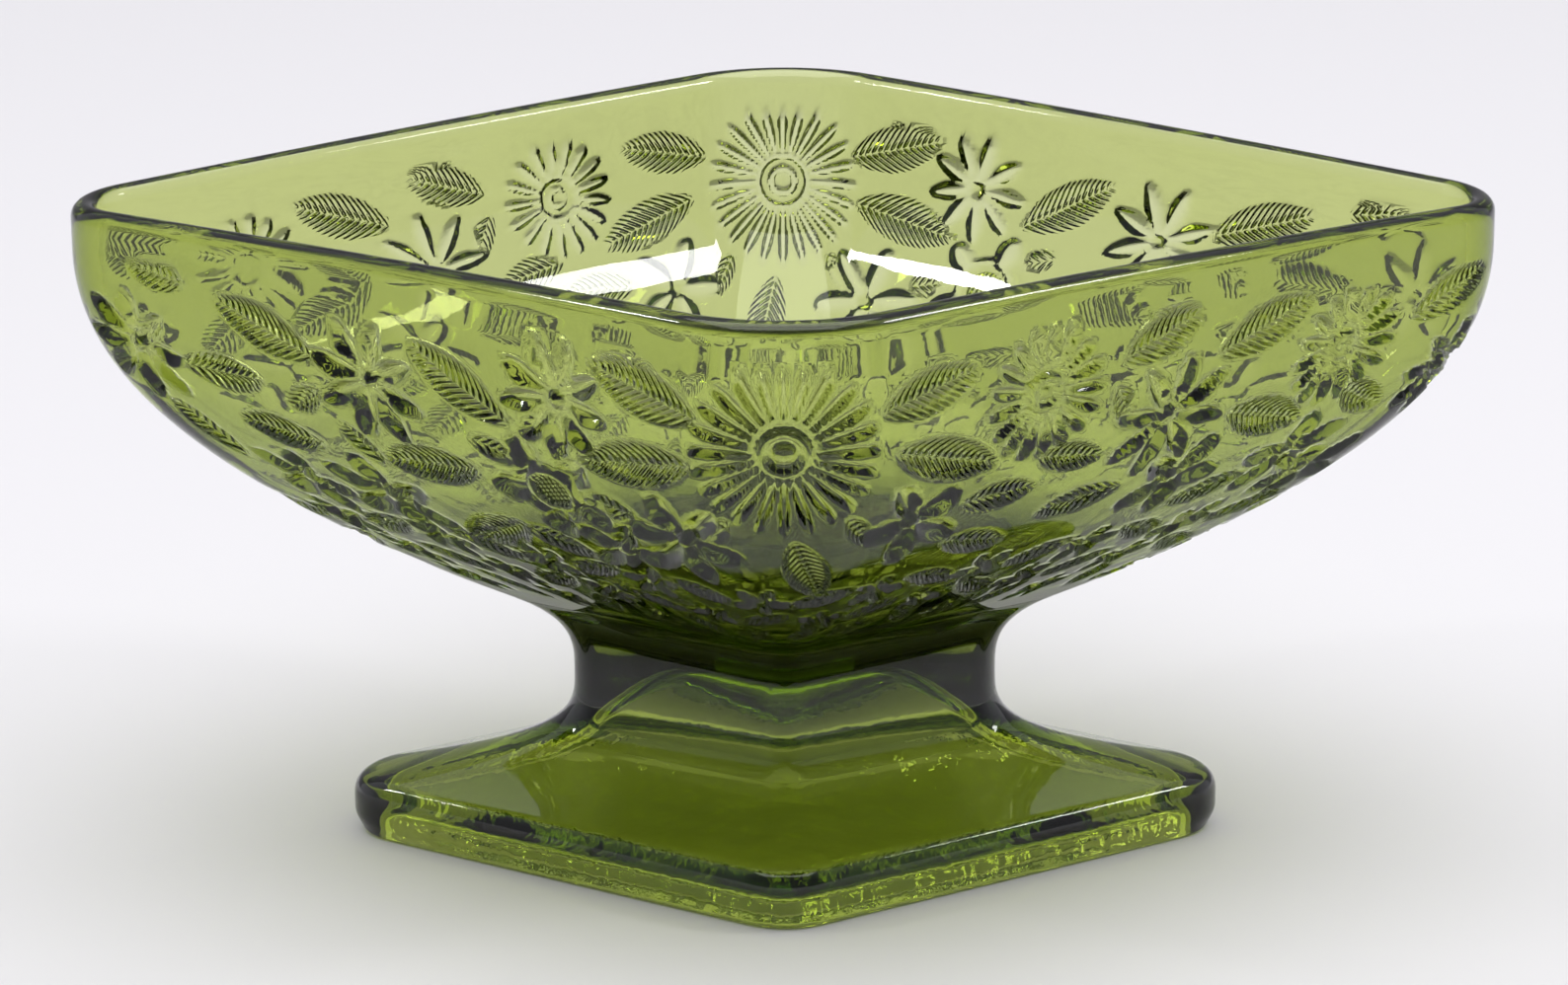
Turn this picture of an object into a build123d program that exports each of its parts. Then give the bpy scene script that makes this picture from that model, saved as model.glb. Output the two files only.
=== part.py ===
from build123d import *
import os
from math import atan2, cos, hypot, sin, tan

# A footed candy dish in pressed green glass, diamond-shaped in plan.
# Millimetres, +Z up. X runs along the long diagonal, Y along the short one.
# The origin is the centre of the foot's resting face.

# Overall sizes
dish_length = 203.0  # over the two sharp tips of the rim
dish_width = 158.0  # over the two blunt corners of the rim
dish_height = 94.8  # top of the rim at the sharp tips

# Bowl
bowl_tip_radius = 12.5  # outer rounding of the sharp tips, in plan
bowl_corner_radius = 23.0  # outer rounding of the blunt corners, in plan
wall = 4.0  # thickness of the wall at the rim
rim_rise = 2.0  # how much higher the rim stands at the blunt corners
rim_band = 8.0  # upright band of wall below the rim's highest points
bowl_bulge = 2.2  # power that curves the wall in from the rim band to the stem
floor_thickness = 6.0  # glass between the floor inside and the stem
floor_length = 81.0  # flat part of the floor
floor_width = 59.0
floor_blend = 14.0  # radius of the rounding between the floor and the wall

# Stem
stem_height = 21.3
stem_top_length = 80.6
stem_top_width = 58.6
waist_rise = 9.2  # height of the waist above the foot
waist_length = 61.4
waist_width = 43.4
waist_tip_radius = 7.0
waist_corner_radius = 4.0
waist_flare = 3.0  # power that opens the stem above its waist
joint_tip_radius = 8.0  # roundings in plan at the stem's top and the floor
joint_corner_radius = 7.0

# Foot
foot_length = 126.4
foot_width = 90.0
foot_height = 15.2  # from the resting face to where the stem begins
foot_tip_radius = 9.0
foot_corner_radius = 11.0
foot_shoulder = 8.4  # height where the sloping top meets the upright edge
foot_round = 3.0  # rounding of that meeting line
foot_bevel_height = 2.8  # bevel around the resting face
foot_bevel_depth = 1.4
foot_flare = 3.3  # power that opens the glass from the waist down to the shoulder

# Hollow under the foot, pressed up into the stem. Its roof runs beneath the
# foot's top, then a dome closes it inside the stem.
foot_ring = 6.2  # level glass between the upright edge and the roof's foot
foot_thickness = 5.0  # upright glass between the shoulder and the roof's foot
stem_wall = 5.5  # level glass between the waist and the roof, were it drawn up to there
hollow_draft = 1.0  # how much the hollow widens from the roof's foot to its mouth
hollow_height = 27.5  # top of the hollow
hollow_top_length = 22.0  # flat part of its ceiling
hollow_top_width = 14.0
hollow_tip_radius = 4.0
hollow_corner_radius = 3.0
hollow_dome = 1.5  # power that closes the dome up to its ceiling

stations = 8  # sections that each lofted surface passes through
blend_stations = 4  # sections of the rounding between floor and wall

# Heights that follow from the sizes above
waist_height = foot_height + waist_rise
bowl_base = foot_height + stem_height
floor_height = bowl_base + floor_thickness
rim_height = dish_height + rim_rise
band_base = rim_height - rim_band
roof_foot = foot_shoulder - foot_thickness

# Plan sizes as half length, half width, tip radius and corner radius
bowl_outside = (dish_length / 2, dish_width / 2, bowl_tip_radius, bowl_corner_radius)
bowl_inside = tuple(size - wall for size in bowl_outside)
bowl_floor = (floor_length / 2, floor_width / 2, joint_tip_radius, joint_corner_radius)
stem_top = (stem_top_length / 2, stem_top_width / 2, joint_tip_radius, joint_corner_radius)
stem_waist = (waist_length / 2, waist_width / 2, waist_tip_radius, waist_corner_radius)
foot_edge = (foot_length / 2, foot_width / 2, foot_tip_radius, foot_corner_radius)
hollow_radii = (hollow_tip_radius, hollow_corner_radius)
roof_edge = (foot_edge[0] - foot_ring, foot_edge[1] - foot_ring, *hollow_radii)
roof_waist = (stem_waist[0] - stem_wall, stem_waist[1] - stem_wall, *hollow_radii)
hollow_mouth = tuple(size + hollow_draft for size in roof_edge)
hollow_ceiling = (hollow_top_length / 2, hollow_top_width / 2, *hollow_radii)
# The rounding between floor and wall starts and ends this far from where they meet
wall_run = bowl_bulge * (bowl_inside[0] - bowl_floor[0])
floor_lean = atan2(band_base - floor_height, wall_run)
blend_reach = floor_blend * tan(floor_lean / 2)


def rounded_diamond(half_length, half_width, tip_radius, corner_radius):
    """Face of a diamond whose rounded corners reach exactly the given half sizes."""
    sharp_length = half_length
    sharp_width = half_width
    for _ in range(40):
        side = hypot(sharp_length, sharp_width)
        sharp_length = half_length + tip_radius * (side / sharp_width - 1)
        sharp_width = half_width + corner_radius * (side / sharp_length - 1)
    sharp_corners = [
        (sharp_length, 0),
        (0, sharp_width),
        (-sharp_length, 0),
        (0, -sharp_width),
    ]
    radii = [tip_radius, corner_radius, tip_radius, corner_radius]
    with BuildLine() as outline:
        FilletPolyline(*sharp_corners, radius=radii, close=True)
    make_face(outline.edges())


def section_at(sizes, height):
    """Level sketch of a rounded diamond of the given plan sizes."""
    with BuildSketch(Plane.XY.offset(height)) as section:
        rounded_diamond(*sizes)
    return section.sketch


def flared_sizes(near, far, share, power):
    """Plan sizes that leave their near values as a power of the height covered."""
    return [start + (end - start) * share**power for start, end in zip(near, far)]


def flared_sections(near, far, near_height, far_height, power, first=0, last=1):
    """Sketches of the sections of one lofted surface.

    The surface starts upright at the near height and leans towards the far one.
    It can be made in stretches, from the first to the last share of the height.
    """
    sections = []
    for step in range(stations):
        share = first + (last - first) * step / (stations - 1)
        height = near_height + (far_height - near_height) * share
        sections.append(section_at(flared_sizes(near, far, share, power), height))
    return sections


def blend_size_and_height(angle):
    """How far outside the floor's outline the rounding is, and its height, at an angle of its arc."""
    return floor_blend * sin(angle) - blend_reach, floor_height + floor_blend * (1 - cos(angle))


def blend_sections():
    """Sketches of the rounding, from the wall down to the flat of the floor."""
    sections = []
    for step in range(blend_stations):
        angle = floor_lean * (1 - step / (blend_stations - 1))
        outwards, height = blend_size_and_height(angle)
        sections.append(section_at([size + outwards for size in bowl_floor], height))
    return sections


def edges_at(piece, height):
    """Edges of a piece that lie level at the given height."""
    return piece.edges().filter_by_position(Axis.Z, height - 0.01, height + 0.01)


# Bowl: a lofted shell under an upright band, its rim cut to a shallow arch.
with BuildPart() as bowl:
    loft(flared_sections(bowl_outside, stem_top, band_base, bowl_base, bowl_bulge))
    with BuildSketch(Plane.XY.offset(band_base)):
        rounded_diamond(*bowl_outside)
    extrude(amount=rim_band)
    outwards, blend_top = blend_size_and_height(floor_lean)
    wall_foot = [size + outwards for size in bowl_floor]
    hollow = flared_sections(bowl_inside, wall_foot, band_base, blend_top, bowl_bulge)
    loft(hollow, mode=Mode.SUBTRACT)
    loft(blend_sections(), mode=Mode.SUBTRACT)
    with BuildSketch(Plane.XY.offset(band_base)):
        rounded_diamond(*bowl_inside)
    extrude(amount=rim_band, mode=Mode.SUBTRACT)
    with BuildSketch(Plane.XZ):
        with BuildLine():
            left = (-dish_length / 2, dish_height)
            right = (dish_length / 2, dish_height)
            ThreePointArc(left, (0, rim_height), right)
            Polyline(right, (right[0], 2 * rim_height), (left[0], 2 * rim_height), left)
        make_face()
    extrude(amount=dish_width, both=True, mode=Mode.SUBTRACT)
    rim = bowl.faces().sort_by(Axis.Z)[-1]
    fillet(rim.edges(), 0.45 * wall)
bowl.part.label = "bowl"

# The surface from the waist to the shoulder, and the roof beneath it, each run
# through both stem and foot. The joint cuts them at these shares of their heights.
outer_share = waist_rise / (waist_height - foot_shoulder)
roof_share = waist_rise / (waist_height - roof_foot)
outer_run = (stem_waist, foot_edge, waist_height, foot_shoulder, foot_flare)
roof_run = (roof_waist, roof_edge, waist_height, roof_foot, foot_flare)
hollow_neck = flared_sizes(roof_waist, roof_edge, roof_share, foot_flare)

# Stem: a waisted diamond column that opens into the bowl above and the foot below,
# with the domed top of the hollow in it.
with BuildPart() as stem:
    loft(flared_sections(*outer_run, last=outer_share))
    loft(flared_sections(stem_waist, stem_top, waist_height, bowl_base, waist_flare))
    dome = flared_sections(hollow_neck, hollow_ceiling, foot_height, hollow_height, hollow_dome)
    loft(dome, mode=Mode.SUBTRACT)
stem.part.label = "stem"

# Foot: a diamond slab with a bevelled base and a concave top, hollow underneath.
with BuildPart() as foot:
    with BuildSketch():
        rounded_diamond(*foot_edge)
    extrude(amount=foot_shoulder)
    chamfer(foot.faces().sort_by(Axis.Z)[0].edges(), foot_bevel_height, foot_bevel_depth)
    loft(flared_sections(*outer_run, first=outer_share))
    fillet(edges_at(foot, foot_shoulder), foot_round)
    loft(flared_sections(*roof_run, first=roof_share), mode=Mode.SUBTRACT)
    loft([section_at(roof_edge, roof_foot), section_at(hollow_mouth, 0)], mode=Mode.SUBTRACT)
foot.part.label = "foot"

os.makedirs("parts", exist_ok=True)
export_step(bowl.part, "parts/bowl.step")
export_step(stem.part, "parts/stem.step")
export_step(foot.part, "parts/foot.step")
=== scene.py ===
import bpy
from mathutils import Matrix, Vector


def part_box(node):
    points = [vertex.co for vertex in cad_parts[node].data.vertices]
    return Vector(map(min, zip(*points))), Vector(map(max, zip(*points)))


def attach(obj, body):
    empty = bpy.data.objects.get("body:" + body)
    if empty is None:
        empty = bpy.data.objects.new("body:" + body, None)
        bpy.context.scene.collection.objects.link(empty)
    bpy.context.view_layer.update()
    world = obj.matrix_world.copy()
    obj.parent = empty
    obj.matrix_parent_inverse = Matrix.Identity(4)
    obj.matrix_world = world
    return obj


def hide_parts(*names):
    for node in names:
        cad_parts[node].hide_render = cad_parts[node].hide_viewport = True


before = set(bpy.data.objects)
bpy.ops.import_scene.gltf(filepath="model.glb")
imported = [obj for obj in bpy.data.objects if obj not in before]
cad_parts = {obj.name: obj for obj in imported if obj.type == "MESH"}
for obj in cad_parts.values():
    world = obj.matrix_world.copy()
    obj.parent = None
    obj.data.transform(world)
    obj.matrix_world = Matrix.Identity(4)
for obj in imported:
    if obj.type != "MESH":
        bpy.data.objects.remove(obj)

"""Footed diamond dish in pressed green glass, on a pale studio floor.

The glass is one pressing, made here as three closed pieces that meet face to
face: bowl, stem and foot. Each is a stack of rounded diamonds that share their
columns. The faces where two pieces meet are left out of sight, so that light
passes from one to the next as it does through solid glass. Flowers and leaves
are cut into the outside of the bowl as real hollows in its mesh.
"""

import logging
import math
from dataclasses import dataclass, field
from enum import Enum
from typing import Sequence

import bpy
import numpy as np
from mathutils import Matrix, Vector

LOG = logging.getLogger("dish")
MM = 0.001
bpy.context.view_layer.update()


# ---------------------------------------------------------------- outlines


@dataclass(frozen=True)
class Section:
    """Plan sizes of one level cut through the glass, in millimetres."""

    half_length: float
    half_width: float
    tip_radius: float
    corner_radius: float

    def array(self) -> np.ndarray:
        """Give the four sizes as an array, in metres."""
        return MM * np.array(
            [self.half_length, self.half_width, self.tip_radius, self.corner_radius]
        )

    def shrunk(self, by: float) -> "Section":
        """Give the section moved inwards all round.

        Args:
            by: how far, in millimetres.

        Returns:
            The smaller section.
        """
        return Section(
            self.half_length - by,
            self.half_width - by,
            self.tip_radius - by,
            self.corner_radius - by,
        )

    def scaled(self, by: float) -> "Section":
        """Give the section with all its sizes multiplied by a factor."""
        return Section(
            self.half_length * by,
            self.half_width * by,
            self.tip_radius * by,
            self.corner_radius * by,
        )


@dataclass(frozen=True)
class Columns:
    """How many mesh columns the three stretches of a quarter outline have."""

    tip: int
    side: int
    corner: int

    @property
    def quarter(self) -> int:
        """Columns in one quarter of an outline."""
        return self.tip + self.side + self.corner


def diamond_loops(sizes: np.ndarray, columns: Columns) -> np.ndarray:
    """Find points round a stack of rounded diamonds.

    A quarter runs from the sharp tip to the blunt corner: an arc of the tip
    radius, a straight side, and an arc of the corner radius. The sharp diamond
    that the arcs round off is found by repeating: sharp length is half length
    plus tip radius times (side over sharp width less one), and the same for
    the width.

    Args:
        sizes: rows of half length, half width, tip radius and corner radius.
        columns: how each quarter is divided.

    Returns:
        An array of rows by columns by (x, y), anticlockwise from the +X tip.
    """
    length, width, tip, corner = (sizes[:, k : k + 1] for k in range(4))
    sharp_l, sharp_w = length.copy(), width.copy()
    for _ in range(40):
        side = np.hypot(sharp_l, sharp_w)
        sharp_l = length + tip * (side / sharp_w - 1)
        sharp_w = width + corner * (side / sharp_l - 1)
    normal = np.arctan2(sharp_l, sharp_w)
    turn_tip = normal * np.linspace(0, 1, columns.tip + 1)
    turn_corner = normal + (math.pi / 2 - normal) * np.linspace(0, 1, columns.corner + 1)
    tip_x = length - tip + tip * np.cos(turn_tip)
    tip_y = tip * np.sin(turn_tip)
    corner_x = corner * np.cos(turn_corner)
    corner_y = width - corner + corner * np.sin(turn_corner)
    share = np.linspace(0, 1, columns.side + 1)[1:-1]
    side_x = tip_x[:, -1:] + (corner_x[:, :1] - tip_x[:, -1:]) * share
    side_y = tip_y[:, -1:] + (corner_y[:, :1] - tip_y[:, -1:]) * share
    x = np.concatenate([tip_x, side_x, corner_x], axis=1)
    y = np.concatenate([tip_y, side_y, corner_y], axis=1)
    back_x, back_y = x[:, :0:-1], y[:, :0:-1]
    x, y = x[:, :-1], y[:, :-1]
    round_x = np.concatenate([x, -back_x, -x, back_x], axis=1)
    round_y = np.concatenate([y, back_y, -y, -back_y], axis=1)
    return np.stack([round_x, round_y], axis=2)


# A run is an array of stations: half length, half width, two radii and height.


def straight(near: Section, far: Section, heights: tuple[float, float], count: int) -> np.ndarray:
    """Make a run whose sizes change evenly with height.

    Args:
        near: section where the run starts.
        far: section where it ends.
        heights: heights of the start and the end, in metres.
        count: number of stations.

    Returns:
        The run's stations.
    """
    return flared(near, far, heights, np.linspace(0, 1, count), 1.0)


def flared(
    near: Section,
    far: Section,
    heights: tuple[float, float],
    shares: np.ndarray,
    power: float,
) -> np.ndarray:
    """Make a run that starts upright: each size leaves its near value as a power of the share.

    Args:
        near: section at share 0.
        far: section at share 1.
        heights: heights at share 0 and share 1, in metres.
        shares: shares of the height covered, one a station.
        power: how late the run leans over.

    Returns:
        The run's stations.
    """
    part = shares[:, None] ** power
    sizes = near.array() * (1 - part) + far.array() * part
    levels = heights[0] + (heights[1] - heights[0]) * shares
    return np.concatenate([sizes, levels[:, None]], axis=1)


def trimmed(run: np.ndarray, cut: float) -> tuple[np.ndarray, np.ndarray]:
    """Take a length off the end of a run.

    Args:
        run: the run's stations.
        cut: length to take off, in metres, measured in half length and height.

    Returns:
        The station where it was cut, and the stations before that.
    """
    legs = np.hypot(np.diff(run[:, 0]), np.diff(run[:, 4]))
    left = np.concatenate([np.cumsum(legs[::-1])[::-1], [0.0]])
    edge = np.array([np.interp(-cut, -left, run[:, k]) for k in range(5)])
    return edge, run[left > cut * 1.02]


def softened(first: np.ndarray, second: np.ndarray, radius: float, steps: int = 6) -> np.ndarray:
    """Join two runs that meet in a corner by a curve pulled towards that corner.

    Each point of the curve is the two ends and the corner, weighted by the
    squares and twice the product of the share covered and the share left.

    Args:
        first: the run that ends in the corner.
        second: the run that starts in it.
        radius: how far from the corner the curve starts and ends, in metres.
        steps: number of steps along the curve.

    Returns:
        One run through both.
    """
    corner = second[0]
    start, before = trimmed(first, radius)
    end, after = trimmed(second[::-1], radius)
    share = np.linspace(0, 1, steps + 1)[:, None]
    curve = (1 - share) ** 2 * start + 2 * share * (1 - share) * corner + share**2 * end
    return np.concatenate([before, curve, after[::-1]])


def surface(run: np.ndarray, columns: Columns) -> np.ndarray:
    """Spread a run's stations round their outlines.

    Args:
        run: the run's stations.
        columns: how each quarter is divided.

    Returns:
        An array of rows by columns by (x, y, z).
    """
    loops = diamond_loops(run[:, :4], columns)
    level = np.broadcast_to(run[:, 4, None, None], (*loops.shape[:2], 1))
    return np.concatenate([loops, level], axis=2)


def grid_normals(grid: np.ndarray) -> np.ndarray:
    """Find a ring grid's unit normals: the step down a column crossed with the step along a row.

    Args:
        grid: rows by columns by (x, y, z), with columns anticlockwise.

    Returns:
        An array of the same shape.
    """
    along = np.roll(grid, -1, axis=1) - np.roll(grid, 1, axis=1)
    normal = np.cross(np.gradient(grid, axis=0), along)
    return normal / np.maximum(np.linalg.norm(normal, axis=2, keepdims=True), 1e-12)


# ---------------------------------------------------------------- meshes


@dataclass
class Skin:
    """Collects ring grids and end faces into one closed mesh."""

    points: list[np.ndarray] = field(default_factory=list)
    joints: list[np.ndarray] = field(default_factory=list)
    faces: list[Sequence[int]] = field(default_factory=list)
    marks: dict[str, tuple[int, np.ndarray]] = field(default_factory=dict)
    count: int = 0

    def add_points(self, points: np.ndarray, joint: bool) -> int:
        """Add points to the mesh.

        Args:
            points: rows of (x, y, z), in any number of dimensions.
            joint: whether they belong to a face where two pieces meet.

        Returns:
            The number of the first.
        """
        first = self.count
        self.points.append(points.reshape(-1, 3))
        self.joints.append(np.full(len(self.points[-1]), float(joint)))
        self.count += len(self.points[-1])
        return first

    def rings(self, grid: np.ndarray, joint: bool = False) -> int:
        """Add a ring grid whose rows follow the glass's cross-section, outside downwards.

        Args:
            grid: rows by columns by (x, y, z), with columns anticlockwise.
            joint: whether it is a face where two pieces meet.

        Returns:
            The number of its first point.
        """
        first = self.add_points(grid, joint)
        index = first + np.arange(grid.shape[0] * grid.shape[1]).reshape(grid.shape[:2])
        right = np.roll(index, -1, axis=1)
        quads = np.stack([index[:-1], index[1:], right[1:], right[:-1]], axis=2)
        self.faces.extend(quads.reshape(-1, 4).tolist())
        return first

    def lid(self, loop: np.ndarray, up: bool, joint: bool) -> None:
        """Close an end with one face.

        Args:
            loop: points of the end, anticlockwise.
            up: whether the face looks up.
            joint: whether it is a face where two pieces meet.
        """
        first = self.add_points(loop, joint)
        order = list(range(first, first + len(loop)))
        self.faces.append(order if up else order[::-1])

    def mark(self, name: str, first: int, values: np.ndarray) -> None:
        """Keep one value a point, for points from the numbered one on."""
        self.marks[name] = (first, values.ravel())

    def make(self, name: str) -> bpy.types.Object:
        """Make a smooth-shaded object at the origin.

        Args:
            name: the object's name.

        Returns:
            The new object.
        """
        mesh = bpy.data.meshes.new(name)
        mesh.from_pydata(np.concatenate(self.points), [], self.faces)
        mesh.update()
        layers = {"joint": np.concatenate(self.joints)}
        for key, (first, values) in self.marks.items():
            layers[key] = np.zeros(self.count)
            layers[key][first : first + len(values)] = values
        for key, values in layers.items():
            layer = mesh.attributes.new(key, "FLOAT", "POINT")
            layer.data.foreach_set("value", values.astype(np.float32))
        mesh.polygons.foreach_set("use_smooth", np.ones(len(mesh.polygons), bool))
        piece = bpy.data.objects.new(name, mesh)
        bpy.context.scene.collection.objects.link(piece)
        return piece


# ---------------------------------------------------------------- cut pattern


def ramp(value: np.ndarray, width: float) -> np.ndarray:
    """Rise smoothly from 0 to 1 over a width: three times the share squared less twice its cube."""
    share = np.clip(value / width, 0, 1)
    return share * share * (3 - 2 * share)


@dataclass(frozen=True)
class Cut:
    """What one motif does to the wall, in millimetres: depth, nearness and fine marks."""

    depth: np.ndarray
    inside: np.ndarray
    veins: np.ndarray
    dots: np.ndarray


@dataclass(frozen=True)
class Motif:
    """Where a motif sits on the wall.

    Attributes:
        along: millimetres along the rim from the front blunt corner, to the right.
        down: millimetres down the wall from the rim.
        turn: degrees that its direction is turned from rightwards towards down.
    """

    along: float
    down: float
    turn: float = 0.0

    def cut(self, u: np.ndarray, w: np.ndarray) -> Cut:
        """Give the motif's cut at points of its own plane.

        Args:
            u: millimetres from its centre along its direction.
            w: millimetres from its centre across it.

        Returns:
            The cut.
        """
        raise NotImplementedError


@dataclass(frozen=True)
class Leaf(Motif):
    """Pointed leaf, scooped on both sides of its midrib, with slanting veins."""

    length: float = 16.0
    width: float = 6.0
    deep: float = 0.5
    rib: float = 0.4
    scoop_edge: float = 1.1
    vein_edge: float = 0.7

    def cut(self, u: np.ndarray, w: np.ndarray) -> Cut:
        """Scoop the leaf: its half width is greatest in the middle and falls off as a square.

        Args:
            u: millimetres from its centre along its direction.
            w: millimetres from its centre across it.

        Returns:
            The cut.
        """
        share = u / (self.length / 2)
        half = self.width / 2 * np.clip(1 - share**2, 0, None)
        beyond = np.hypot(np.clip(np.abs(u) - self.length / 2, 0, None), w)
        inside = np.where(np.abs(share) < 1, half - np.abs(w), -beyond)
        scoop = ramp(inside, self.scoop_edge)
        ridge = np.exp(-((w / self.rib) ** 2))
        veins = ramp(inside, self.vein_edge) * (1 - ridge)
        return Cut(self.deep * scoop * (1 - 0.8 * ridge), inside, veins, np.zeros_like(u))


class Tip(Enum):
    """Shape of a petal's ends: the power of its outline."""

    POINTED = 1.0
    BLUNT = 0.62
    OVAL = 0.5


@dataclass(frozen=True)
class Rosette(Motif):
    """Flower of grooved petals round a plain, ringed or dotted middle."""

    radius: float = 8.0
    petals: int = 8
    inner: float = 0.8
    width: float = 3.0
    tip: Tip = Tip.POINTED
    deep: float = 0.8
    boss: float = 0.0
    dotted: bool = False
    groove_edge: float = 0.6
    ring_gap: float = 0.6
    ring_width: float = 0.45
    ring_share: float = 0.9
    well_reach: float = 0.78
    well_edge: float = 0.7
    dome_reach: float = 0.5
    dot_reach: float = 0.74
    dot_edge: float = 0.4

    def cut(self, u: np.ndarray, w: np.ndarray) -> Cut:
        """Groove each petal round in section, then ring the middle.

        A petal's half width is one less the square of the share of its length from its
        middle, to the power of its tip. The ring is a bell curve of the distance out.

        Args:
            u: millimetres from its centre along its direction.
            w: millimetres from its centre across it.

        Returns:
            The cut.
        """
        r = np.hypot(u, w)
        step = 2 * math.pi / self.petals
        angle = np.arctan2(w, u)
        off = angle - step * np.round(angle / step)
        forward, aside = r * np.cos(off), r * np.sin(off)
        middle, reach = (self.radius + self.inner) / 2, (self.radius - self.inner) / 2
        share = (forward - middle) / reach
        half = self.width / 2 * np.clip(1 - share**2, 0, None) ** self.tip.value
        groove = np.clip(1 - (aside / np.maximum(half, 0.05)) ** 2, 0, 1)
        depth = self.deep * groove * ramp(half, self.groove_edge)
        dots = np.zeros_like(u)
        if self.boss:
            ring = np.exp(-(((r - self.boss - self.ring_gap) / self.ring_width) ** 2))
            moat = self.ring_share * self.deep * ring
            well = ramp(self.well_reach * self.boss - r, self.well_edge)
            well = self.ring_share * self.deep * well
            dome = np.sqrt(np.clip(1 - (r / (self.dome_reach * self.boss)) ** 2, 0, 1))
            well = well * (0.5 if self.dotted else 1 - self.ring_share * dome)
            dots = ramp(self.dot_reach * self.boss - r, self.dot_edge) * self.dotted
            depth = np.where(r < self.boss, well, np.maximum(depth, moat))
        return Cut(depth, self.radius - r, np.zeros_like(u), dots)


def daisy(along: float, down: float, radius: float, boss: float, petals: int) -> Rosette:
    """Make a daisy: many thin round-ended petals, almost touching, round a ringed middle."""
    inner_part = 0.35 * radius + 0.65 * boss
    width = 0.992 * 2 * math.pi * inner_part / petals
    return Rosette(along, down, 0, radius, petals, boss + 0.4, width, Tip.BLUNT, 0.95, boss)


def star(along: float, down: float, radius: float, petals: int = 8, turn: float = 12) -> Rosette:
    """Make a flower of pointed petals that meet in its middle."""
    return Rosette(along, down, turn, radius, petals, 0.4, 0.36 * radius, Tip.POINTED, 1.1)


def blossom(along: float, down: float, radius: float, turn: float = 20) -> Rosette:
    """Make a small flower of five oval petals."""
    return Rosette(along, down, turn, radius, 5, 0.12 * radius, 0.5 * radius, Tip.OVAL, 0.95)


HALF_GIRTH = 262.4  # millimetres half the way round the rim


def garland(down: float, count: int, start: float, tilt: float, length: float) -> list[Motif]:
    """Make a row of leaves and blossoms in turn, evenly spaced over half the way round.

    Args:
        down: millimetres down the wall.
        count: leaves in the row, and blossoms between them.
        start: millimetres along of the first leaf.
        tilt: degrees the leaves lean, to one side and the other in turn.
        length: length of the leaves.

    Returns:
        The motifs.
    """
    pitch = HALF_GIRTH / count
    row: list[Motif] = []
    for k in range(count):
        lean = tilt if k % 2 else 180 - tilt
        row.append(Leaf(start + k * pitch, down, lean, length, 0.36 * length, 0.6))
        row.append(blossom(start + (k + 0.5) * pitch, down + 1.0, 0.36 * length, 25 * k))
    return row


PATTERN: tuple[Motif, ...] = (
    # round the front corner
    daisy(0, 18.4, 13.8, 3.6, 24),
    Leaf(4, 42, 74, 18, 6.8),
    Leaf(-11, 33, 128, 9, 3.8),
    Leaf(12, 33, 55, 9, 3.8),
    # leftwards, rim to foot of the wall
    Leaf(-21, 11.4, -164, 20, 7.4),
    Leaf(-23.5, 22.6, 171, 21, 7.6),
    star(-37, 15.4, 9.4, 9),
    Leaf(-31, 32, -165, 11, 4.6),
    Rosette(-41.7, 31.6, 30, 9.8, 5, 4.6, 5.0, Tip.OVAL, 1.0, 4.2, True),
    Rosette(-18, 37, 10, 9.8, 6, 1.0, 4.4, Tip.OVAL, 1.0),
    Leaf(-54, 15.8, -150, 20, 7.2),
    Leaf(-50, 25.5, 18, 9, 4),
    Leaf(-65, 31.2, 174, 19.5, 7.2),
    star(-71.5, 18.8, 10, 8, 20),
    Rosette(-83, 42, 35, 9.2, 6, 1.0, 4.2, Tip.OVAL, 1.0),
    Leaf(-62, 45, 151, 19, 7),
    Leaf(-78, 30, -118, 9, 4),
    Leaf(-89, 13.6, -161, 20, 7),
    Leaf(-95, 31, -172, 15, 6.2),
    Leaf(-100, 22, 1, 16, 6),
    Leaf(-85, 23.5, 150, 9, 3.8),
    star(-116.5, 20.5, 9, 8, 8),
    Leaf(-109, 8.8, -172, 12, 4.8),
    Leaf(-114, 34, -109, 12, 5.2),
    blossom(-102, 42, 7, 10),
    blossom(-32, 43, 7.4, 0),
    Leaf(-47, 44, 20, 13, 5.4),
    # rightwards, rim to foot of the wall
    Leaf(22, 11.6, -13, 18, 6.6),
    Leaf(26, 22.4, 16, 20, 7.2),
    daisy(42.8, 15.8, 10, 2.8, 17),
    Leaf(50, 27, 10, 13, 5.2),
    Leaf(38, 31.6, -4, 13.5, 5.6),
    blossom(22.5, 34, 8.6, 30),
    Leaf(57.5, 20, 60, 9, 3.8),
    Rosette(67.5, 23.8, 8, 10.4, 8, 0.5, 2.8, Tip.POINTED, 1.0),
    Leaf(63, 10.8, -19, 16, 6.2),
    Leaf(82, 12.6, -19, 19, 6.8),
    daisy(98.8, 18.4, 9.2, 2.0, 15),
    Leaf(117.5, 13.4, -23, 16, 6),
    Leaf(88, 27.6, 15, 18, 6.8),
    Leaf(108, 28, 24, 13, 5.2),
    blossom(77, 37, 8, 0),
    blossom(102, 37, 7.8, 40),
    Leaf(57, 37, 170, 15, 6),
    Leaf(38, 42, 15, 14, 5.6),
    Leaf(90, 42, 160, 13, 5.4),
    star(123.5, 26, 8, 8, 0),
    Leaf(131, 40, 92, 13, 5.4),
    blossom(114, 43, 7, 15),
    # closer and closer down to the stem
    *garland(51, 10, 8, 24, 13),
    *garland(59.5, 9, 24, 30, 11.5),
    *garland(67.5, 8, 6, 60, 10),
)


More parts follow.
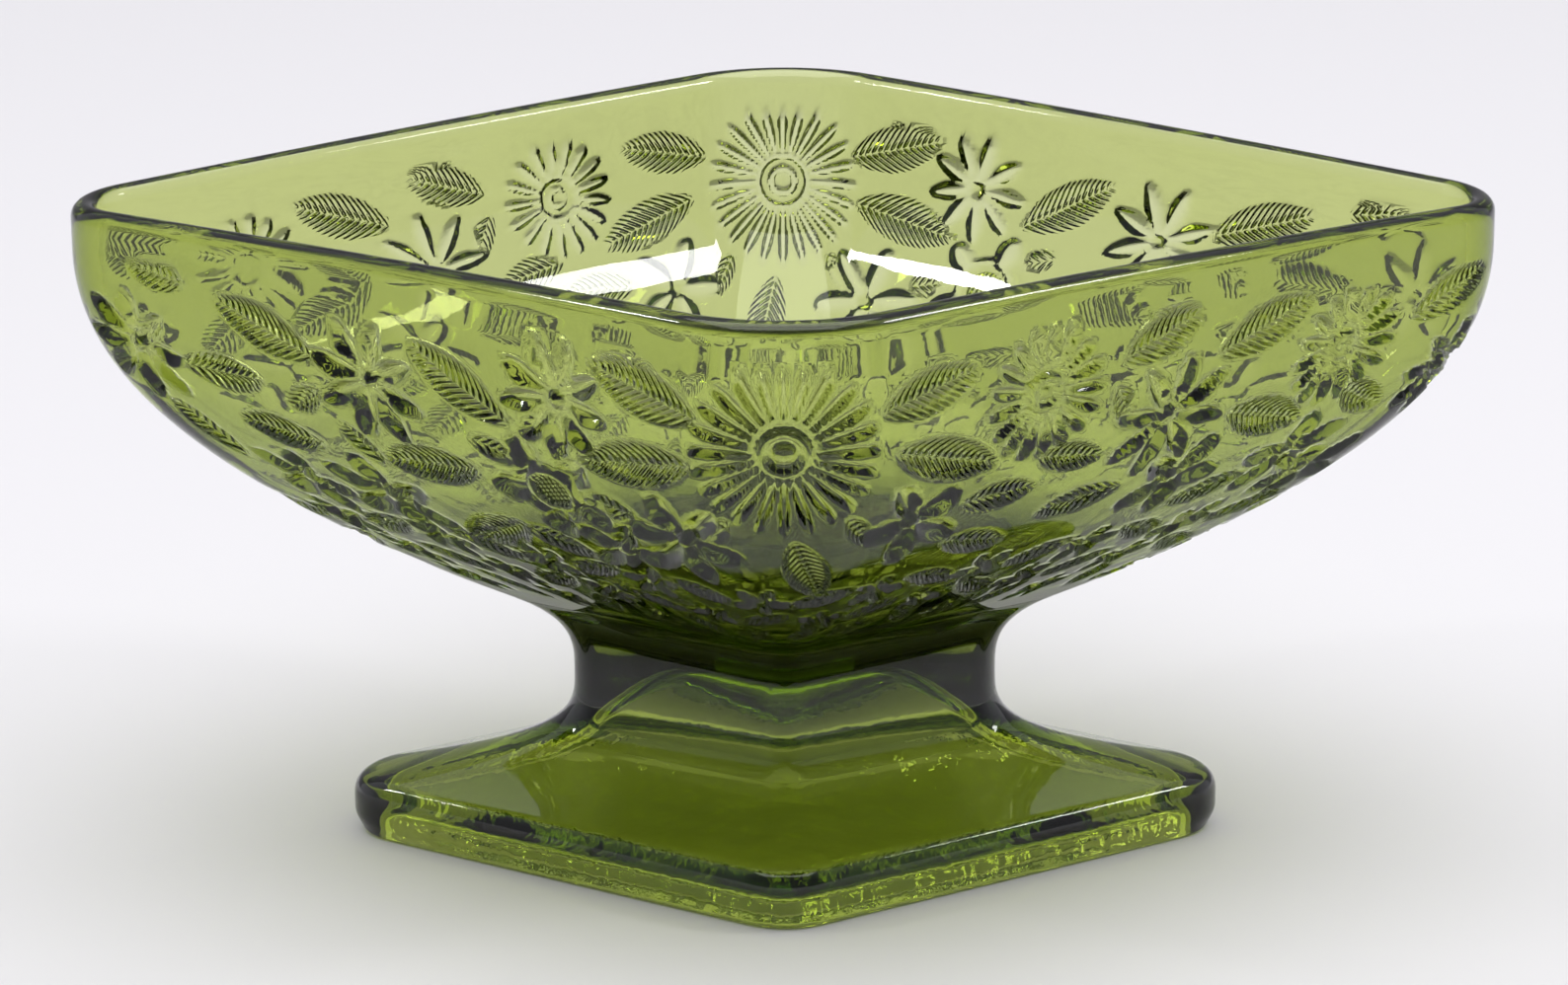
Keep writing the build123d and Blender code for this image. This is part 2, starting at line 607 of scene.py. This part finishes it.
@dataclass(frozen=True)
class WallMap:
    """Wall coordinates of the bowl's outside: along, down, and how far the girth has shrunk."""

    along: np.ndarray
    down: np.ndarray
    shrunk: np.ndarray
    half_girth: float

    @classmethod
    def of(cls, grid: np.ndarray, columns: Columns, start: float) -> "WallMap":
        """Measure a grid.

        Args:
            grid: rows by columns by (x, y, z), in metres.
            columns: how each quarter is divided.
            start: millimetres from the rim to the first row.

        Returns:
            The map, in millimetres.
        """
        rings = grid[:, :, :2] / MM
        steps = np.linalg.norm(np.roll(rings, -1, axis=1) - rings, axis=2)
        girths = steps.sum(axis=1)
        walked = np.concatenate([[0], np.cumsum(steps[0])[:-1]])
        front = walked[3 * columns.quarter]
        half = girths[0] / 2
        along = (walked - front + half / 2) % half - half / 2
        middle = 3 * columns.quarter + columns.quarter // 2
        drops = np.linalg.norm(np.diff(grid[:, middle], axis=0), axis=1) / MM
        down = start + np.concatenate([[0], np.cumsum(drops)])
        return cls(along, down, girths / girths[0], half)

    def plane(self, motif: Motif) -> tuple[np.ndarray, np.ndarray]:
        """Give every point in a motif's own plane, as far round the wall as is nearest.

        Args:
            motif: the motif whose plane it is.

        Returns:
            Millimetres along the motif's direction and across it.
        """
        around = self.along - motif.along + self.half_girth / 2
        around = around % self.half_girth - self.half_girth / 2
        right = around[None, :] * self.shrunk[:, None]
        below = np.broadcast_to((self.down - motif.down)[:, None], right.shape)
        turn = math.radians(motif.turn)
        cos, sin = math.cos(turn), math.sin(turn)
        return right * cos + below * sin, below * cos - right * sin


@dataclass
class Carving:
    """The pattern worked out over a wall: depth in millimetres and what the finish needs."""

    depth: np.ndarray
    leaf_u: np.ndarray
    leaf_w: np.ndarray
    veins: np.ndarray
    dots: np.ndarray

    @classmethod
    def of(cls, wall: WallMap, motifs: Sequence[Motif]) -> "Carving":
        """Cut every motif, keeping the deepest cut and the nearest motif's own plane.

        Args:
            wall: the wall's coordinates.
            motifs: the motifs to cut.

        Returns:
            The carving.
        """
        shape = (len(wall.down), len(wall.along))
        done = cls(*(np.zeros(shape) for _ in range(5)))
        nearest = np.full(shape, -np.inf)
        for motif in motifs:
            u, w = wall.plane(motif)
            cut = motif.cut(u, w)
            closer = cut.inside > nearest
            nearest = np.where(closer, cut.inside, nearest)
            done.leaf_u = np.where(closer, u, done.leaf_u)
            done.leaf_w = np.where(closer, w, done.leaf_w)
            done.veins = np.where(closer, cut.veins, done.veins)
            done.dots = np.where(closer, cut.dots, done.dots)
            done.depth = np.maximum(done.depth, cut.depth)
        return done


# ---------------------------------------------------------------- finishes


def node(tree: bpy.types.NodeTree, kind: str, **settings: object) -> bpy.types.Node:
    """Add a shader node.

    Args:
        tree: the tree to add it to.
        kind: the node's type name without the leading Shader and Node words.
        **settings: properties to set on it.

    Returns:
        The new node.
    """
    made = tree.nodes.new(f"ShaderNode{kind}")
    for key, value in settings.items():
        setattr(made, key, value)
    return made


def maths(tree: bpy.types.NodeTree, operation: str, *values: object) -> bpy.types.NodeSocket:
    """Add a Math node.

    Args:
        tree: the tree to add it to.
        operation: what it does.
        *values: numbers or output sockets, one an input.

    Returns:
        Its output.
    """
    made = node(tree, "Math", operation=operation)
    for socket, value in zip(made.inputs, values):
        if isinstance(value, bpy.types.NodeSocket):
            tree.links.new(value, socket)
        else:
            socket.default_value = value
    return made.outputs[0]


class PressedSurface:
    """Height of the small unevenness of pressed, fire-polished glass, in millimetres."""

    name = "pressed_surface"
    inputs = {"Wave": 0.03, "Mottle": 0.004, "Underside": 0.0, "Vein Depth": 0.0}
    vein_pitch = 1.25
    vein_slant = 1.15
    dot_pitch = 1.15
    vein_sharpness = 1.4
    wave_noise = (55.0, 1.0)
    grain_noise = (420.0, 2.0)
    rough_noise = (230.0, 3.0)

    @classmethod
    def group(cls) -> bpy.types.NodeTree:
        """Build the node group, or find it if it is already there.

        Returns:
            The group.
        """
        done = bpy.data.node_groups.get(cls.name)
        if done:
            return done
        tree = bpy.data.node_groups.new(cls.name, "ShaderNodeTree")
        for key, value in cls.inputs.items():
            socket = tree.interface.new_socket(key, in_out="INPUT", socket_type="NodeSocketFloat")
            socket.default_value = value
        tree.interface.new_socket("Height", in_out="OUTPUT", socket_type="NodeSocketFloat")
        given = tree.nodes.new("NodeGroupInput")
        result = tree.nodes.new("NodeGroupOutput")
        place = node(tree, "TexCoord")
        wave = cls.noise(tree, place, *cls.wave_noise)
        height = maths(tree, "MULTIPLY", wave, given.outputs["Wave"])
        grain = cls.noise(tree, place, *cls.grain_noise)
        grain = maths(tree, "MULTIPLY", grain, given.outputs["Mottle"])
        height = maths(tree, "ADD", height, grain)
        below = node(tree, "Attribute", attribute_name="underside").outputs["Fac"]
        rough = maths(tree, "MULTIPLY", cls.noise(tree, place, *cls.rough_noise), below)
        rough = maths(tree, "MULTIPLY", rough, given.outputs["Underside"])
        height = maths(tree, "ADD", height, rough)
        fine = maths(tree, "MULTIPLY", cls.marks(tree), given.outputs["Vein Depth"])
        height = maths(tree, "SUBTRACT", height, fine)
        tree.links.new(height, result.inputs["Height"])
        return tree

    @classmethod
    def noise(
        cls, tree: bpy.types.NodeTree, place: bpy.types.Node, scale: float, detail: float
    ) -> bpy.types.NodeSocket:
        """Add noise on Object coordinates.

        Args:
            tree: the tree to add it to.
            place: the Texture Coordinate node.
            scale: how fine the noise is.
            detail: how many finer layers it has.

        Returns:
            Its value.
        """
        made = node(tree, "TexNoise")
        made.inputs["Scale"].default_value = scale
        made.inputs["Detail"].default_value = detail
        tree.links.new(place.outputs["Object"], made.inputs["Vector"])
        return made.outputs["Fac"]

    @classmethod
    def marks(cls, tree: bpy.types.NodeTree) -> bpy.types.NodeSocket:
        """Combine leaf veins and dots, each where the carving says, as a depth from 0 to 1.

        Veins are a sine wave of the way along the leaf less a share of the way across it.
        Dots are the product of two sine waves.

        Args:
            tree: the tree to add them to.

        Returns:
            The depth.
        """
        reads = {}
        for key in ("leaf_u", "leaf_w", "veins", "dots"):
            reads[key] = node(tree, "Attribute", attribute_name=key).outputs["Fac"]
        side = maths(tree, "MULTIPLY", maths(tree, "ABSOLUTE", reads["leaf_w"]), cls.vein_slant)
        run = maths(tree, "SUBTRACT", reads["leaf_u"], side)
        phase = maths(tree, "MULTIPLY", run, 2 * math.pi / cls.vein_pitch)
        wave = maths(tree, "MULTIPLY_ADD", maths(tree, "SINE", phase), 0.5, 0.5)
        veins = maths(tree, "MULTIPLY", maths(tree, "POWER", wave, cls.vein_sharpness), reads["veins"])
        turn = 2 * math.pi / cls.dot_pitch
        across = maths(tree, "SINE", maths(tree, "MULTIPLY", reads["leaf_u"], turn))
        beside = maths(tree, "SINE", maths(tree, "MULTIPLY", reads["leaf_w"], turn))
        grid = maths(tree, "MULTIPLY_ADD", maths(tree, "MULTIPLY", across, beside), 0.5, 0.5)
        return maths(tree, "ADD", veins, maths(tree, "MULTIPLY", grid, reads["dots"]))


@dataclass(frozen=True)
class GreenGlass:
    """Clear olive-green glass, tinted through its depth, with a pressed surface."""

    name: str
    wave: float
    mottle: float
    underside: float = 0.0
    vein_depth: float = 0.0
    tint: tuple[float, float, float] = (0.97, 0.985, 0.93)
    absorbed_per_metre: tuple[float, float, float] = (108.0, 88.0, 282.0)
    refraction: float = 1.5
    roughness: float = 0.012

    def material(self) -> bpy.types.Material:
        """Build the material, or find it if it is already there.

        Returns:
            The material.
        """
        done = bpy.data.materials.get(self.name)
        if done:
            return done
        made = bpy.data.materials.new(self.name)
        made.use_nodes = True
        tree = made.node_tree
        shader = tree.nodes["Principled BSDF"]
        shader.inputs["Base Color"].default_value = (*self.tint, 1)
        shader.inputs["Transmission Weight"].default_value = 1
        shader.inputs["IOR"].default_value = self.refraction
        shader.inputs["Roughness"].default_value = self.roughness
        self.deepen(tree)
        self.hide_joints(tree, shader)
        self.roughen(tree, shader)
        return made

    def deepen(self, tree: bpy.types.NodeTree) -> None:
        """Tint the depth: density is the greatest absorption, colour is one less each share of it.

        Args:
            tree: the material's tree.
        """
        most = max(self.absorbed_per_metre)
        depth = node(tree, "VolumeAbsorption")
        depth.inputs["Color"].default_value = (*(1 - a / most for a in self.absorbed_per_metre), 1)
        depth.inputs["Density"].default_value = most
        tree.links.new(depth.outputs[0], tree.nodes["Material Output"].inputs["Volume"])

    def hide_joints(self, tree: bpy.types.NodeTree, shader: bpy.types.Node) -> None:
        """Show nothing of the faces where two pieces of the same glass meet.

        Args:
            tree: the material's tree.
            shader: its main shader.
        """
        hidden = node(tree, "Attribute", attribute_name="joint")
        shown = maths(tree, "LESS_THAN", hidden.outputs["Fac"], 0.5)
        tree.links.new(shown, shader.inputs["Alpha"])

    def roughen(self, tree: bpy.types.NodeTree, shader: bpy.types.Node) -> None:
        """Feed the pressed surface's height to a bump, with heights in millimetres.

        Args:
            tree: the material's tree.
            shader: its main shader.
        """
        pressed = tree.nodes.new("ShaderNodeGroup")
        pressed.node_tree = PressedSurface.group()
        pressed.inputs["Wave"].default_value = self.wave
        pressed.inputs["Mottle"].default_value = self.mottle
        pressed.inputs["Underside"].default_value = self.underside
        pressed.inputs["Vein Depth"].default_value = self.vein_depth
        bump = node(tree, "Bump")
        bump.inputs["Strength"].default_value = 1.0
        bump.inputs["Distance"].default_value = MM
        tree.links.new(pressed.outputs["Height"], bump.inputs["Height"])
        tree.links.new(bump.outputs["Normal"], shader.inputs["Normal"])


# Painted light: the foot is the same glass as the stem and the bowl, but it absorbs much less, so the
# foot shows lighter. This stands in for the light that the shaded floor under its hollow does not give.
FOOT_GLASS_PAINTED_LIGHT = GreenGlass(
    "olive_glass_foot_painted_light", wave=0.10, mottle=0.003, underside=0.42, absorbed_per_metre=(62, 45, 225)
)
STEM_GLASS = GreenGlass("olive_glass_stem", wave=0.08, mottle=0.003, underside=0.20)
# Painted shade: the bowl is the same glass as the stem, but it absorbs a little more, which darkens the
# bowl's wall.
BOWL_GLASS_PAINTED_SHADE = GreenGlass(
    "olive_glass_bowl_painted_shade", wave=0.08, mottle=0.004, vein_depth=0.55, absorbed_per_metre=(112, 92, 300)
)


# ---------------------------------------------------------------- the glass

STEM_TOP = Section(40.3, 29.3, 8, 7)


@dataclass(frozen=True)
class Neck:
    """The two surfaces that run on from stem to foot: the outside, and the hollow's roof."""

    waist: Section = Section(30.7, 21.7, 7, 4)
    edge: Section = Section(63.2, 45.0, 9, 11)
    roof_waist: Section = Section(25.2, 16.2, 4, 3)
    roof_edge: Section = Section(57.0, 38.8, 4, 3)
    waist_rise: float = 9.2 * MM
    shoulder: float = 8.4 * MM
    roof_foot: float = 3.4 * MM
    flare: float = 3.3

    def stretch(self, roof: bool, joint: float, above: bool, count: int) -> np.ndarray:
        """Give the stretch of one of the surfaces on one side of the joint.

        Args:
            roof: whether it is the hollow's roof rather than the outside.
            joint: height of the joint, in metres.
            above: whether the stretch is the stem's rather than the foot's.
            count: number of stations.

        Returns:
            The stretch, downwards.
        """
        near, far = (self.roof_waist, self.roof_edge) if roof else (self.waist, self.edge)
        heights = (joint + self.waist_rise, self.roof_foot if roof else self.shoulder)
        cut = self.waist_rise / (heights[0] - heights[1])
        shares = np.linspace(0, cut, count) if above else np.linspace(cut, 1, count)
        return flared(near, far, heights, shares, self.flare)


NECK = Neck()


@dataclass
class Glass:
    """What the three pieces share: the CAD node each stands for, its finish and its joints."""

    node_name: str
    finish: GreenGlass
    columns: Columns = Columns(10, 44, 8)
    gap: float = 0.01 * MM

    def box(self) -> tuple[Vector, Vector]:
        """Give the low and high corners of the piece's CAD node, in metres."""
        low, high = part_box(self.node_name)
        return Vector(low), Vector(high)

    def skin(self) -> Skin:
        """Work out the piece's closed mesh."""
        raise NotImplementedError

    def build(self) -> bpy.types.Object:
        """Make the piece, dress it, let it ride on the body and stand for its node.

        Returns:
            The finished object.
        """
        piece = self.skin().make(f"{self.node_name}_glass")
        piece.data.materials.append(self.finish.material())
        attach(piece, "root")
        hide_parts(self.node_name)
        LOG.info("%s: %d faces", piece.name, len(piece.data.polygons))
        return piece


@dataclass
class Foot(Glass):
    """Diamond foot: concave top, rounded shoulder, upright edge, bevel, and a hollow beneath."""

    shoulder_round: float = 3.0 * MM
    bevel_height: float = 2.8 * MM
    bevel_depth: float = 1.4
    hollow_draft: float = 1.0
    bevel_round: float = 0.9 * MM
    rest_round: float = 0.7 * MM
    mouth_round: float = 0.8 * MM
    roof_round: float = 1.6 * MM

    def skin(self) -> Skin:
        """Run from the joint down the outside, across the resting ring and up the hollow.

        Returns:
            The foot's skin.
        """
        low, high = self.box()
        edge, roof_edge = NECK.edge, NECK.roof_edge
        slope = NECK.stretch(False, high.z, False, 44)
        side = straight(edge, edge, (NECK.shoulder, self.bevel_height), 6)
        rest = edge.shrunk(self.bevel_depth)
        bevel = straight(edge, rest, (self.bevel_height, low.z), 5)
        mouth = roof_edge.shrunk(-self.hollow_draft)
        ring = straight(rest, mouth, (low.z, low.z), 5)
        rise = straight(mouth, roof_edge, (low.z, NECK.roof_foot), 5)
        roof = NECK.stretch(True, high.z, False, 36)[::-1]
        run = softened(slope, side, self.shoulder_round, 9)
        run = softened(run, bevel, self.bevel_round, 5)
        run = softened(run, ring, self.rest_round, 5)
        run = softened(run, rise, self.mouth_round, 5)
        run = softened(run, roof, self.roof_round, 6)
        run[:, 4] = np.minimum(run[:, 4], high.z - self.gap)
        grid = surface(run, self.columns)
        skin = Skin()
        skin.rings(grid)
        lowest = np.flatnonzero(run[:, 4] < low.z + 0.001 * MM)[-1]
        inside = (np.arange(len(run)) > lowest)[:, None]
        skin.mark("underside", 0, np.broadcast_to(inside, grid.shape[:2]))
        skin.rings(np.stack([grid[-1], grid[0]]), joint=True)
        return skin


@dataclass
class Stem(Glass):
    """Waisted diamond column, domed beneath where the foot's hollow runs up into it."""

    flare: float = 3.0
    ceiling: Section = Section(11, 7, 4, 3)
    ceiling_height: float = 27.5 * MM
    dome: float = 1.5
    ceiling_round: float = 4.0 * MM

    def skin(self) -> Skin:
        """Run down the outside between the joints, then up the dome to its ceiling.

        The dome's sizes leave those of the roof as a power of the height covered.

        Returns:
            The stem's skin.
        """
        low, high = self.box()
        top, base = high.z - self.gap, low.z + self.gap
        waist_height = low.z + NECK.waist_rise
        up = np.linspace(1, 0, 26)[:-1]
        upper = flared(NECK.waist, STEM_TOP, (waist_height, top), up, self.flare)
        lower = NECK.stretch(False, low.z, True, 22)
        run = np.concatenate([upper, lower])
        run[:, 4] = np.maximum(run[:, 4], base)
        outside = surface(run, self.columns)
        neck = NECK.stretch(True, low.z, True, 2)[-1]
        share = np.linspace(0, 1, 26)[:, None] ** self.dome
        ceiling = np.append(self.ceiling.array(), self.ceiling_height)
        rise = neck * (1 - share) + ceiling * share
        rise[:, 4] = np.linspace(base, self.ceiling_height, len(rise))
        level = (self.ceiling_height, self.ceiling_height)
        flat = straight(self.ceiling, self.ceiling.scaled(0.03), level, 5)
        hollow = surface(softened(rise, flat, self.ceiling_round, 8), self.columns)
        skin = Skin()
        skin.lid(outside[0], up=True, joint=True)
        skin.rings(outside)
        skin.rings(np.stack([outside[-1], hollow[0]]), joint=True)
        first = skin.rings(hollow)
        skin.mark("underside", first, np.ones(hollow.shape[:2]))
        skin.lid(hollow[-1], up=False, joint=False)
        return skin


@dataclass
class Bowl(Glass):
    """Diamond bowl: smooth inside, arched round rim, flowers and leaves cut into the outside."""

    columns: Columns = Columns(14, 122, 34)
    outline: Section = Section(101.5, 79.0, 12.5, 23)
    floor: Section = Section(40.5, 29.5, 8, 7)
    wall: float = 4.0
    rim_rise: float = 2.0 * MM
    rim_band: float = 8.0
    bulge: float = 2.2
    floor_thickness: float = 6.0 * MM
    floor_round: float = 9.0 * MM
    outer_rows: int = 100
    boldness: float = 1.45
    relief_fade: float = 3.0
    motifs: Sequence[Motif] = PATTERN

    def carved(self, grid: np.ndarray) -> tuple[np.ndarray, Carving]:
        """Cut the pattern into the outside, less and less over the last few millimetres.

        Args:
            grid: the smooth outside, downwards.

        Returns:
            The carved grid and the carving.
        """
        wall = WallMap.of(grid, self.columns, self.rim_band)
        carving = Carving.of(wall, self.motifs)
        fade = ramp(wall.down[-1] - wall.down, self.relief_fade)[:, None]
        carving.depth *= fade * self.boldness
        inwards = grid_normals(grid) * carving.depth[:, :, None] * MM
        return grid - inwards, carving

    def rim(self, top: float, band: float) -> np.ndarray:
        """Make the rows over the rim: inner edge, half circle of the wall's thickness, outer band.

        Args:
            top: height of the rim at the blunt corners.
            band: height where the upright band begins.

        Returns:
            Rows from the inside over the rim to the outside.
        """
        turn = np.linspace(math.pi, 0, 10)
        half = self.wall / 2
        inwards = half * (1 - np.cos(turn))
        stations = np.stack([self.outline.shrunk(k).array() for k in inwards])
        run = np.concatenate([stations, np.zeros((len(turn), 1))], axis=1)
        rim = surface(run, self.columns)
        crest = top - self.rim_rise * (rim[:, :, 0] / (self.outline.half_length * MM)) ** 2
        rim[:, :, 2] = crest - half * MM * (1 - np.sin(turn)[:, None])
        below = np.repeat(rim[-1:], 3, axis=0)
        share = np.linspace(1, 0, 5)[1:-1, None]
        below[:, :, 2] = band + (rim[-1, :, 2] - band) * share
        return np.concatenate([rim, below])

    def skin(self) -> Skin:
        """Run up the inside from the floor's middle, over the rim and down the carved outside.

        Returns:
            The bowl's skin.
        """
        low, high = self.box()
        band = high.z - self.rim_band * MM
        base = low.z + self.gap
        share = np.linspace(0, 1, self.outer_rows)
        smooth = surface(
            flared(self.outline, STEM_TOP, (band, base), share, self.bulge), self.columns
        )
        outside, carving = self.carved(smooth)
        level = low.z + self.floor_thickness
        lining = self.outline.shrunk(self.wall)
        share = np.linspace(0, 1, 22)
        wall = flared(lining, self.floor, (band, level), share, self.bulge)
        flat = straight(self.floor, self.floor.scaled(0.02), (level, level), 5)
        inside = surface(softened(wall, flat, self.floor_round, 7)[::-1], self.columns)
        skin = Skin()
        skin.lid(inside[0], up=True, joint=False)
        above = np.concatenate([inside, self.rim(high.z, band)])
        first = skin.rings(np.concatenate([above, outside])) + above.shape[0] * above.shape[1]
        skin.mark("leaf_u", first, carving.leaf_u)
        skin.mark("leaf_w", first, carving.leaf_w)
        skin.mark("veins", first, carving.veins)
        skin.mark("dots", first, carving.dots)
        skin.lid(outside[-1], up=False, joint=True)
        return skin


# ---------------------------------------------------------------- the stage


@dataclass(frozen=True)
class Softbox:
    """A rectangular lamp that looks at the dish."""

    name: str
    place: tuple[float, float, float]
    size: tuple[float, float]
    power: float
    colour: tuple[float, float, float] = (1.0, 1.0, 1.0)

    def build(self) -> None:
        """Add the lamp."""
        data = bpy.data.lights.new(self.name, "AREA")
        data.shape = "RECTANGLE"
        data.size, data.size_y = self.size
        data.energy = self.power
        data.color = self.colour
        lamp = bpy.data.objects.new(self.name, data)
        bpy.context.scene.collection.objects.link(lamp)
        lamp.location = self.place
        aim = Vector((0, 0, 0.06)) - Vector(self.place)
        lamp.rotation_euler = aim.to_track_quat("-Z", "Y").to_euler()
        LOG.info("%s: %.1f W", self.name, self.power)


@dataclass
class Studio:
    """Pale floor that sweeps up behind the dish, soft light and the camera."""

    lens: float = 134.4
    place: tuple[float, float, float] = (0.0, -0.812, 0.2905)
    pitch: float = 0.287
    roll: float = -0.0040
    floor_level: float = -0.0002
    floor_reach: float = 3.0
    floor_side: float = 5.0
    bend: float = 1.5
    backdrop_height: float = 4.0
    floor_colour: tuple[float, float, float] = (0.80, 0.785, 0.80)
    air: tuple[float, float, float] = (0.93, 0.94, 1.0)
    air_strength: float = 0.76
    front_strength: float = 0.24
    air_slope: float = 1.4
    air_level: float = 0.85
    lamps: tuple[Softbox, ...] = (
        Softbox("right_softbox", (1.17, -0.09, 0.97), (0.24, 0.20), 2.6),
        Softbox("left_softbox", (-1.17, -0.09, 0.97), (0.08, 0.12), 1.2),
        Softbox("top_softbox", (0.0, -0.25, 2.1), (2.4, 2.4), 39.0),
    )

    def floor(self) -> bpy.types.Object:
        """Build the sweep: a level floor that bends up into a backdrop along a quarter circle.

        Returns:
            The floor.
        """
        turn = np.linspace(0, math.pi / 2, 13)[1:]
        reach, bend = self.floor_reach, self.bend
        y = np.concatenate([np.linspace(-reach, reach, 13), reach + bend * np.sin(turn), [reach + bend]])
        z = np.concatenate([np.zeros(13), bend - bend * np.cos(turn), [self.backdrop_height]])
        z += self.floor_level
        x = np.linspace(-self.floor_side, self.floor_side, 11)
        grid = np.stack(np.broadcast_arrays(x[None, :], y[:, None], z[:, None]), axis=2)
        index = np.arange(grid.shape[0] * grid.shape[1]).reshape(grid.shape[:2])
        quads = np.stack([index[:-1, :-1], index[:-1, 1:], index[1:, 1:], index[1:, :-1]], axis=2)
        mesh = bpy.data.meshes.new("studio_floor")
        mesh.from_pydata(grid.reshape(-1, 3), [], quads.reshape(-1, 4).tolist())
        mesh.polygons.foreach_set("use_smooth", np.ones(len(mesh.polygons), bool))
        piece = bpy.data.objects.new("studio_floor", mesh)
        bpy.context.scene.collection.objects.link(piece)
        made = bpy.data.materials.new("pale_floor")
        made.use_nodes = True
        shader = made.node_tree.nodes["Principled BSDF"]
        shader.inputs["Base Color"].default_value = (*self.floor_colour, 1)
        shader.inputs["Roughness"].default_value = 0.7
        piece.data.materials.append(made)
        return piece

    def light(self) -> None:
        """Set the air light and the lamps.

        The air is dim from the front and even from the back. Between them its strength
        rises evenly with the Y of the direction it comes from.
        """
        world = bpy.data.worlds.new("studio_air")
        bpy.context.scene.world = world
        world.use_nodes = True
        tree = world.node_tree
        air = tree.nodes["Background"]
        air.inputs["Color"].default_value = (*self.air, 1)
        along = node(tree, "SeparateXYZ")
        tree.links.new(node(tree, "TexCoord").outputs["Generated"], along.inputs[0])
        back = maths(tree, "MULTIPLY_ADD", along.outputs["Y"], self.air_slope, self.air_level)
        back = maths(tree, "MINIMUM", maths(tree, "MAXIMUM", back, 0.0), 1.0)
        more = self.air_strength - self.front_strength
        strength = maths(tree, "MULTIPLY_ADD", back, more, self.front_strength)
        tree.links.new(strength, air.inputs["Strength"])
        for lamp in self.lamps:
            lamp.build()

    def camera(self) -> bpy.types.Object:
        """Place the camera in front and a little above, looking down and barely rolled.

        Returns:
            The camera.
        """
        data = bpy.data.cameras.new("camera")
        data.lens = self.lens
        data.sensor_width = 36
        data.clip_start = 0.01
        camera = bpy.data.objects.new("camera", data)
        bpy.context.scene.collection.objects.link(camera)
        camera.location = self.place
        look = Matrix.Rotation(math.pi / 2 - self.pitch, 3, "X")
        camera.rotation_euler = (look @ Matrix.Rotation(self.roll, 3, "Z")).to_euler()
        bpy.context.scene.camera = camera
        return camera

    def build(self) -> None:
        """Build the whole stage."""
        bpy.context.scene.view_settings.view_transform = "Standard"
        self.camera()
        self.floor()
        self.light()


def main() -> None:
    """Build the stage, then the glass from the foot up."""
    logging.basicConfig(level=logging.INFO)
    Studio().build()
    Foot("foot", FOOT_GLASS_PAINTED_LIGHT).build()
    Stem("stem", STEM_GLASS).build()
    Bowl("bowl", BOWL_GLASS_PAINTED_SHADE).build()


if __name__ == "__main__":
    main()
